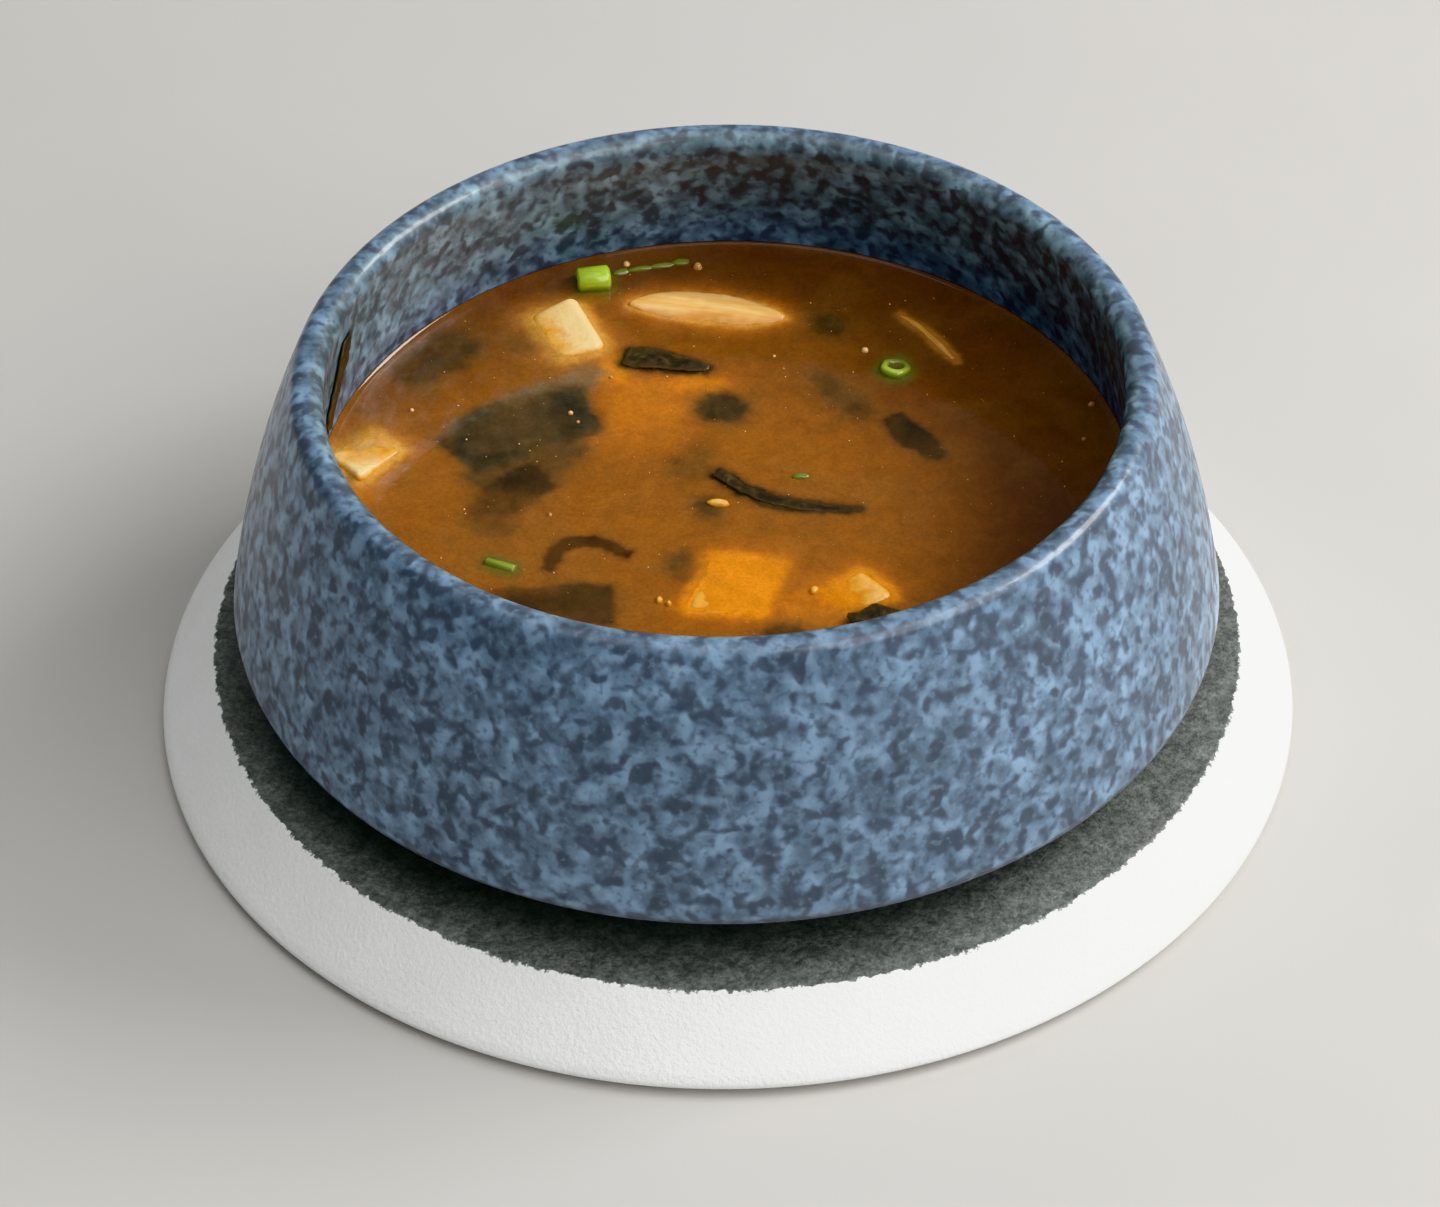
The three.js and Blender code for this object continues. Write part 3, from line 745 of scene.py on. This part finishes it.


# ---- what is in the broth
# stain of a block in its middle, and how much more per mm along x and y; on tofu_left and tofu_back
# the rise is partly painted light and shade of their faces
TOFU = {
    "tofu_left": dict(size=(10, 8.2, 8), centre=(-54.5, 8), top=0.6, turn=41, lean=6,
                      pitch=-7, skew=0.2, rounding=0.9, soak_and_shade=(0.4, 0.09, 0.13), seen="pale_tofu"),
    "tofu_back": dict(size=(8.6, 13.4, 9.5), centre=(-23.9, 38.9), top=1.4, turn=22, lean=-16,
                      pitch=3, rounding=1.5, soak_and_shade=(0.0, -0.09, 0.0), seen="pale_tofu"),
    "tofu_front": dict(size=(11.6, 13.6, 9), centre=(1.4, -23), top=0.02, turn=-17, lean=3,
                       pitch=-2, skew=0.16, rounding=1.1, soak_and_shade=(1.0, 0, 0), seen="tofu"),
    "tofu_right": dict(size=(8.6, 8.6, 8), centre=(19.5, -25.1), top=0.5, turn=38, lean=-9,
                       pitch=-2, rounding=1.8, soak_and_shade=(0.4, -0.05, 0.05), seen="tofu"),
}
# each leaf, and the row of SEEN by which it shows through the broth
WAKAME = {
    "wakame_back": ("leaf", dict(
        spine=((-15.4, 32.2), (-10, 30.9), (-2.3, 28.9)), width=6.4, heads=(0.7, 0.06),
        belly=0.45, lift=0.25, tilt=0.03, wave=0.1)),
    "wakame_large": ("pale_leaf", dict(
        spine=((-40.4, 8.2), (-35.7, 12), (-30.5, 15.6), (-21, 19.2)), width=12.4, belly=0.9,
        heads=(0.8, 0.8), lift=-0.55, arch=0.25, wave=0.08, ripples=1.6, crease=0.06)),
    "wakame_lower": ("leaf", dict(
        spine=((-27.5, 2.6), (-31.2, 0.2), (-34.2, -4.6), (-34.6, -10.6)), width=7,
        heads=(0.8, 0.5), lift=-0.5, wave=0.08, crease=0.06, dip=(0.05, -0.6))),
    "wakame_small": ("deep_leaf", dict(
        spine=((-3, 20.1), (2.4, 18.1)), width=5, heads=(0.6, 0.6), lift=-0.5, wave=0.08)),
    "wakame_strip": ("leaf", dict(
        spine=((-1.2, 3.1), (3.4, -1.4), (10, -4.5), (19.6, -6.1)), width=2.5, belly=0.6,
        heads=(0.75, 0.2), lift=0.15, wave=0.06, crease=0.05, dip=(0.1, -0.35))),
    "wakame_arc": ("brown_leaf", dict(
        spine=((-26.4, -19.1), (-24.4, -13.9), (-19.8, -12.5), (-14.6, -15.5)), width=1.5,
        heads=(0.6, 0.3), lift=-0.36, wave=0.04, crease=0.04)),
    "wakame_front": ("leaf", dict(
        spine=((-35, -27), (-27, -27.2), (-16.9, -27.2)), width=9, heads=(0.45, 0.9),
        belly=0.6, lift=-0.5, tilt=0.01, wave=0.06, crease=0.06, dip=(-0.4, 0.08))),
    "wakame_right": ("leaf", dict(
        spine=((25.8, 16.1), (28.6, 11.7), (32.6, 6.5)), width=3.9, heads=(0.6, 0.2),
        lift=-0.42, wave=0.06, crease=0.06)),
    "wakame_tofu": ("leaf", dict(
        spine=((17.8, -31.9), (21.6, -30.7), (25.6, -31.3)), width=3.4, heads=(0.3, 0.3),
        lift=0.9, wave=0.2)),
}
MUSHROOM = {
    "mushroom_slice": ("mushroom", dict(
        spine=((-15, 45.9), (-5, 44.7), (9.6, 41.7)), width=7.0, heads=(0.05, 0.06),
        thickness=1.1, lift=0.05, tilt=0.15, wave=0.08, lobes=0.05, frill=0.02, crease=0.05)),
    "mushroom_thread": ("thread", dict(
        spine=((28, 42.3), (31.8, 37.5), (36, 30.3)), width=1.1, heads=(0.4, 0.4), thickness=0.4,
        lift=-0.05, wave=0.1, frill=0.0, crease=0.02)),
}
SCALLION = {
    "scallion_chunk": dict(outer=2.7, inner=1.5, length=5.4, dome=0.24,
                           centre=(-20.6, 51.3), height=LEVEL + 0.7, turn=8, lean=90),
    "scallion_ring": dict(outer=2.6, inner=1.2, length=1.9, dome=0.0,
                          centre=(26.6, 28.3), height=LEVEL - 0.15, turn=65, lean=14),
    "scallion_sliver": dict(outer=1.3, inner=0.6, length=4.8, dome=0.1,
                            centre=(-33.2, -18.1), height=LEVEL - 0.55, turn=-24, lean=90),
}
# wholly sunk leaves: row of SEEN, line, width, depth; the last row is no leaf but a painted sheen
# along the large leaf
SUNK_LEAVES = (
    ("deep_leaf", ((-49.5, 27.3), (-45, 32.3), (-40, 36.8)), 7.5, 1.0),
    ("deep_leaf", ((14.8, 26.8), (18, 21.8), (21.5, 16.8)), 3.0, 1.2),
    ("deep_leaf", ((-6.6, 2.8), (-3.6, 7.8)), 4.0, 1.6),
    ("deep_leaf", ((-6.2, -16.3), (-5.6, -21.1)), 3.2, 0.7),
    ("deep_leaf", ((14.5, 41.8), (18, 38.8)), 3.2, 0.7),
    ("deep_leaf", ((-32, 37.3), (-30.4, 35.5)), 2.4, 0.9),
    ("deep_leaf", ((-3.2, -3.5), (-2.6, -6.3)), 2.2, 0.9),
    ("deep_leaf", ((6, -33.7), (10.5, -34.1)), 2.6, 0.5),
    ("veil", ((-37, 1.5), (-30, 6.3), (-23, 10.8)), 9.0, 0.6),
    # painted sheen: a greyish band of reflected light along the large leaf's top
    ("painted_sheen", ((-38.5, 14.6), (-32, 19.6), (-25, 24), (-20.6, 29)), 4.4, 0.35),
)
SUNK_TOFU = (
    dict(size=(13, 17, 9), centre=(-12.5, 18.3), top=-1.3, turn=-14, pitch=3),
    dict(size=(6, 7, 7), centre=(-17, 29.5), top=-0.35, turn=-20),
    dict(size=(8, 5, 7), centre=(-4, 24.9), top=-0.8, turn=-20),
    dict(size=(9, 9, 8), centre=(12.5, -28.2), top=-1.1, turn=15),
    dict(size=(6, 6, 6), centre=(-55, -0.2), top=-1.0, turn=15),
)
# lumps at the surface: x, y, length, width, turn
GREEN_BITS = ((-16.2, 54.4, 3.0, 1.5, 16), (-13.2, 55.2, 4.2, 1.1, 10), (-9.8, 56.0, 4.4, 1.2, 12),
              (-6.8, 56.9, 3.0, 1.8, 4), (11.4, 2.1, 2.6, 1.5, 5))
TOFU_CRUMBS = ((-1.0, -4.1, 3.6, 1.5, -8), (-9.8, -26.3, 1.3, 1.0, 70), (-8.4, -27.1, 1.0, 0.8, 80),
               (12.8, -24.5, 1.7, 1.3, 60))
GREEN_BIT_HEIGHT = 0.9
CRUMB_HEIGHT = 1.3
# bubbles at the surface: x, y, radius
BUBBLES = ((-4.0, 55.5, 0.8), (22, 33.1, 0.6), (-15.4, 56.5, 0.6), (56.4, 18.7, 0.6),
           (-23.6, 18.1, 0.45), (-22.4, 15.9, 0.3), (7.8, 31.9, 0.3), (-26.2, -6.3, 0.35),
           (-17.5, 26.9, 0.35), (-48, 19.3, 0.35), (54.6, 10.3, 0.4))
FOAM_COUNT = 300
FOAM_REACH = 60         # from the bowl's axis
FOAM_SIZES = (0.13, 0.35)
# the strip on the wall: its low end above the broth, its rise, width and place
STRAND_LIFT = 4.2
STRAND_RISE = 12
STRAND_WIDTH = 4.8
STRAND_AZIMUTHS = (171, 163)
STRAND_THICKNESS = 0.35
STRAND_REACH = 0.55     # from the wall to its inner face


def add_tofu(material):
    """The four blocks; gives how they show through the broth, as the next ones do."""
    shades = []
    for k, (name, form) in enumerate(TOFU.items()):
        form = dict(form)
        size, rounding, top = form.pop("size"), form.pop("rounding"), form.pop("top")
        centre, soak_and_shade, kind = form.pop("centre"), form.pop("soak_and_shade"), form.pop("seen")
        points, faces = soft_block(size, rounding, relief=0.16, seed=1.7 * k)
        points = posed(points, centre, LEVEL + top - size[2] / 2, **form)
        # stain per point: broth stain, partly painted shade on the less lit side
        stain_and_shade = np.clip(soak_and_shade[0] + (points[:, :2] - centre) @ soak_and_shade[1:], 0, 1)
        add_mesh(name + "_look", points, faces, material, values={"soak_and_shade": stain_and_shade},
                 replaces=(name,))
        shades += seen_as(kind, points, faces, clings=0.4)
    return shades


def add_leaves(forms, material):
    shades = []
    for name, (kind, form) in forms.items():
        points, faces, values = leaf_mesh(**form)
        add_mesh(name + "_look", points, faces, material, values=values, replaces=(name,))
        shades += seen_as(kind, points, faces)
    return shades


def add_scallions(material):
    shades = []
    for k, (name, form) in enumerate(SCALLION.items()):
        form = dict(form)
        pose = {key: form.pop(key) for key in ("centre", "height", "turn", "lean")}
        points, faces, values = ring_mesh(**form, seed=k)
        points = posed(points, **pose)
        add_mesh(name + "_look", points, faces, material, values=values,
                 replaces=(name,))
        shades += seen_as("scallion", points, faces, clings=0.2)
    return shades


def sunk_shapes():
    """The blocks and leaves that lie wholly under the surface, as shades only, and a painted sheen.
    """
    shades = []
    for form in SUNK_TOFU:
        form = dict(form)
        size, top = form.pop("size"), form.pop("top")
        points, faces = soft_block(size, rounding=1.5, relief=0.1, steps=8)
        points = posed(points, form.pop("centre"), LEVEL + top - size[2] / 2, **form)
        shades += seen_as("tofu", points, faces)
    for kind, line, width, depth in SUNK_LEAVES:
        points, faces, _ = leaf_mesh(line, width, heads=(0.4, 0.5), lift=-depth, wave=0.1)
        shades += seen_as(kind, points, faces)
    return shades


def add_small_bits(scallion, tofu, foam):
    """Green bits, crumbs, bubbles and fine foam, as one piece of each kind."""
    add_bits("green_bits", GREEN_BITS, GREEN_BIT_HEIGHT, scallion, {"inside": 0.25})
    add_bits("tofu_crumbs", TOFU_CRUMBS, CRUMB_HEIGHT, tofu, {"soak_and_shade": 0.0})
    rounds = [(x, y, 2 * radius, 2 * radius, 0) for x, y, radius in BUBBLES]
    draw = np.random.default_rng(7)
    for _ in range(FOAM_COUNT):
        reach = FOAM_REACH * math.sqrt(draw.random())
        angle = draw.random() * 2 * math.pi
        size = FOAM_SIZES[0] + (FOAM_SIZES[1] - FOAM_SIZES[0]) * draw.random() ** 3
        rounds.append((reach * math.cos(angle), reach * math.sin(angle), size, size, 0))
    add_bits("foam_specks", rounds, None, foam, steps=6)


def add_bits(name, places, height, material, values=None, steps=12):
    """Small uneven lumps at the broth's surface, joined into one piece.

    Without a height, each is as high as it is wide.
    """
    points, faces = [], []
    for k, (x, y, length, width, turn) in enumerate(places):
        lump, sides = pebble(length, width, height or width, seed=k * 3.1, steps=steps)
        start = sum(map(len, points))
        points.append(posed(lump, (x, y), LEVEL, turn=turn))
        faces += [tuple(start + corner for corner in side) for side in sides]
    points = np.vstack(points)
    values = {key: [number] * len(points) for key, number in (values or {}).items()}
    add_mesh(name, points, faces, material, values=values)


def add_wall_strand(material):
    """A dark strip of wakame stuck to the wall, left of the broth."""
    steps, lanes = 44, 12
    inner, edge = [], []
    for i in range(steps + 1):
        u = i / steps
        share = 0.4 + 0.6 * math.sin(math.pi * (0.1 + 0.75 * u)) + 0.06 * math.sin(31 * u)
        height = LEVEL + STRAND_LIFT + STRAND_RISE * u
        azimuth = STRAND_AZIMUTHS[0] + (STRAND_AZIMUTHS[1] - STRAND_AZIMUTHS[0]) * u
        for j in range(lanes + 1):
            v = j / lanes
            side = (v - 0.5) * STRAND_WIDTH * share + 0.5 * math.sin(8 * u)
            fold = 0.22 * noise_at(side, height, 0, 1.1, 2.0)
            reach = wall_radius(height) - STRAND_REACH - fold
            angle = math.radians(azimuth) + side / reach
            inner.append((reach * math.cos(angle), reach * math.sin(angle), height))
            edge.append(abs(2 * v - 1) ** 3)
    inner = np.array(inner)
    outwards = inner * np.array([1, 1, 0])
    outwards /= np.linalg.norm(outwards, axis=1)[:, None]
    points = np.vstack([inner + outwards * STRAND_THICKNESS, inner])
    add_mesh("wakame_wall_strand_look", points, sheet_faces(steps, lanes), material,
             values={"edge": edge * 2}, replaces=("wakame_wall_strand",))


# ---- broth
# the broth darkens away from the cloud's centre: partly clearer broth, partly painted shade of the
# back and right wall
CLOUDY = np.array(srgb(143, 83, 5))        # where the miso hangs, left of the middle
CLEAR_AND_SHADED = np.array(srgb(90, 47, 2))          # towards the back and the right: clearer broth, and painted shade of the wall
CLOUD_CENTRE = (-16, -10)
CLOUD_REACH = (28, 68)                     # from all cloudy to all clear and shaded
FILM = 0.35             # food under a thinner film than this shows fully
SHADE_REACH = 2.5       # a shape changes the surface at least this far beside it
CLIMB = 0.9             # how high the broth climbs the wall, and how far off that fades
CLIMB_AT_FOOD = 0.5     # how far off food it fades
CALM_RADIUS = 56.5      # outside it the surface has finer rings
CALM_RINGS = 118
FINE_RINGS = 22
SURFACE_STEPS = 640     # points round the surface
SIDE_TOP = 38.5         # where the broth's side starts, under the surface's edge
SIDE_GAP = 0.05         # between the broth's side and the wall
FLOOR_GAP = 0.1
# what shows through: colour, how far it shows in mm, how strongly
SEEN = {
    "tofu": ((srgb(184, 100, 8), 2.2, 0.75), (srgb(222, 135, 2), 0.8, 0.96)),
    "pale_tofu": ((srgb(186, 112, 26), 2.4, 0.75), (srgb(214, 152, 52), 0.9, 0.96)),
    "mushroom": ((srgb(190, 110, 24), 2.2, 0.8), (srgb(214, 148, 56), 0.5, 0.9)),
    "thread": ((srgb(172, 112, 40), 0.5, 0.8),),
    "leaf": ((srgb(92, 56, 6), 1.2, 0.6), (srgb(30, 22, 1), 0.5, 0.97)),
    "deep_leaf": ((srgb(94, 64, 10), 2.0, 0.65), (srgb(44, 36, 4), 0.9, 0.93)),
    "pale_leaf": ((srgb(92, 66, 16), 1.4, 0.7), (srgb(38, 35, 9), 0.6, 0.97)),
    "brown_leaf": ((srgb(92, 50, 4), 0.8, 0.6), (srgb(42, 20, 0), 0.35, 0.96)),
    "veil": ((srgb(66, 50, 12), 1.4, 0.85),),
    "scallion": ((srgb(84, 88, 12), 0.8, 0.8),),
    # painted sheen: greyish reflected light over the large leaf
    "painted_sheen": ((srgb(104, 86, 54), 1.3, 0.85),),
}


def seen_as(kind, points, faces, clings=0.0):
    """How a shape shows through the broth, layer by layer; clings is how high that climbs it."""
    points = np.asarray(points)
    tree = BVHTree.FromPolygons([Vector(point) for point in points], faces)
    return [dict(tree=tree, low=points.min(0), high=points.max(0), colour=np.array(colour),
                 fade=fade, strength=strength, clings=clings, leaf=kind.endswith("leaf"))
            for colour, fade, strength in SEEN[kind]]


def distances(tree, points, reach):
    """Distance in millimetres from each point to a shape, capped at reach."""
    found = np.full(len(points), reach)
    for k, point in enumerate(points):
        hit = tree.find_nearest(Vector(point), reach)
        if hit[3] is not None:
            found[k] = hit[3]
    return found


def broth_surface(shades, rings, angles):
    """Points of the broth's top and the colour seen at each, painted shade and sheen included.

    The places that colours are read at wander a little, and leaves are mottled, so that
    what is sunk has no hard outline.
    """
    radius, angle = np.meshgrid(rings, angles, indexing="ij")
    flat = np.stack([(radius * np.cos(angle)).ravel(), (radius * np.sin(angle)).ravel(),
                     np.full(radius.size, LEVEL)], 1)
    # darker towards the back and right: clearer broth, and painted shade of the wall
    spread = np.hypot(flat[:, 0] - CLOUD_CENTRE[0], flat[:, 1] - CLOUD_CENTRE[1])
    clear_and_shade = np.clip((spread - CLOUD_REACH[0]) / (CLOUD_REACH[1] - CLOUD_REACH[0]), 0, 1)[:, None]
    colour = CLOUDY + (CLEAR_AND_SHADED - CLOUDY) * clear_and_shade * clear_and_shade * (3 - 2 * clear_and_shade)
    climb = np.zeros(len(flat))
    wander = flat.copy()
    mottle = np.ones((len(flat), 1))
    for k, (x, y, _) in enumerate(flat):
        mottle[k] += 0.5 * noise_at(x, y, 0, 2.2, 6.1) + 0.35 * noise_at(x, y, 0, 0.9, 1.9)
        wander[k, 0] += 0.4 * noise_at(x, y, 0, 1.3, 2.2) + 0.3 * noise_at(x, y, 0, 4.0, 3.3)
        wander[k, 1] += 0.4 * noise_at(x, y, 0, 1.3, 9.4) + 0.3 * noise_at(x, y, 0, 4.0, 5.1)
    for shade in shades:
        reach = max(shade["fade"] * 3, SHADE_REACH)
        low, high = shade["low"][:2] - reach, shade["high"][:2] + reach
        chosen = np.nonzero(((flat[:, :2] > low) & (flat[:, :2] < high)).all(axis=1))[0]
        gap = distances(shade["tree"], wander[chosen], reach)
        beyond = np.maximum(gap - FILM, 0)
        seen = shade["strength"] * np.exp(-(beyond / shade["fade"]) ** 1.4)
        tone = shade["colour"] * (mottle[chosen] if shade["leaf"] else 1)
        colour[chosen] += (tone - colour[chosen]) * seen[:, None]
        clings = shade["clings"] * np.exp(-gap / CLIMB_AT_FOOD)
        climb[chosen] = np.maximum(climb[chosen], clings)
    climb += CLIMB * np.exp(-(rings[-1] - radius.ravel()) / CLIMB)
    flat[:, 2] += climb
    return flat, colour


def add_broth(material, shades):
    """The broth up to its level: a fine surface that climbs the wall, over a plain body.

    Its side is shaded flat, so that it doesn't tilt the shading of the surface's edge.
    """
    steps = SURFACE_STEPS
    rings = np.concatenate([np.linspace(0.3, CALM_RADIUS, CALM_RINGS),
                            np.linspace(CALM_RADIUS, LEVEL_RADIUS - 0.1, FINE_RINGS + 1)[1:]])
    angles = np.linspace(0, 2 * math.pi, steps, endpoint=False)
    top, colour = broth_surface(shades, rings, angles)
    points = top.tolist()
    side = [(wall_radius(height) - SIDE_GAP, height) for height in (SIDE_TOP, WALL_FOOT)]
    for radius, height in side + floor_curve(FLOOR_GAP, 5)[1:]:
        points += [(radius * math.cos(a), radius * math.sin(a), height) for a in angles]
    faces = flipped(close_rings(points, steps, (LEVEL, FLOOR_HEIGHT + FLOOR_GAP)))
    piece = add_mesh("broth_look", points, faces, material, replaces=("soup",))
    for face in piece.data.polygons[(len(rings) - 1) * steps:(len(rings) + 1) * steps]:
        face.use_smooth = False
    layer = piece.data.color_attributes.new("seen_in_broth_and_painted_light", "FLOAT_COLOR", "POINT")
    seen = np.ones((len(points), 4), np.float32)
    seen[:, :3] = CLOUDY
    seen[:len(colour), :3] = colour
    layer.data.foreach_set("color", seen.ravel())


def add_floor():
    mesh = bpy.data.meshes.new("floor")
    far = FLOOR_REACH
    corners = [(-far, -far, 0), (far, -far, 0), (far, far, 0), (-far, far, 0)]
    mesh.from_pydata(corners, [], [(0, 1, 2, 3)])
    mesh.materials.append(floor_finish())
    floor = bpy.data.objects.new("floor", mesh)
    bpy.context.scene.collection.objects.link(floor)


def add_dishes():
    points, faces = turned_mesh(bowl_profile(), DISH_STEPS)
    add_mesh("bowl_look", points, faces, bowl_glaze(), replaces=("bowl",))
    points, faces = turned_mesh(saucer_profile(), DISH_STEPS)
    add_mesh("saucer_look", points, faces, saucer_finish(),
             replaces=("saucer",))


def add_soup():
    tofu, wakame, scallion = tofu_finish(), wakame_finish(), scallion_finish()
    shades = sunk_shapes()
    shades += add_tofu(tofu)
    shades += add_leaves(MUSHROOM, mushroom_finish())
    shades += add_leaves(WAKAME, wakame)
    shades += add_scallions(scallion)
    add_small_bits(scallion, tofu, foam_finish())
    add_wall_strand(wakame)
    add_broth(broth_finish(), shades)


add_camera()
add_area_light("window", azimuth=14, elevation=40, size=(0.8, 0.42), power=13.0)
add_area_light("room", azimuth=-42, elevation=40, size=(1.0, 1.0), power=9.5)
add_area_light("ceiling", azimuth=180, elevation=84, size=(1.0, 1.0), power=3.4)
add_world(colour=(0.95, 0.98, 1.0), strength=0.32)
bpy.context.scene.view_settings.view_transform = "Khronos PBR Neutral"
add_floor()
add_dishes()
add_soup()
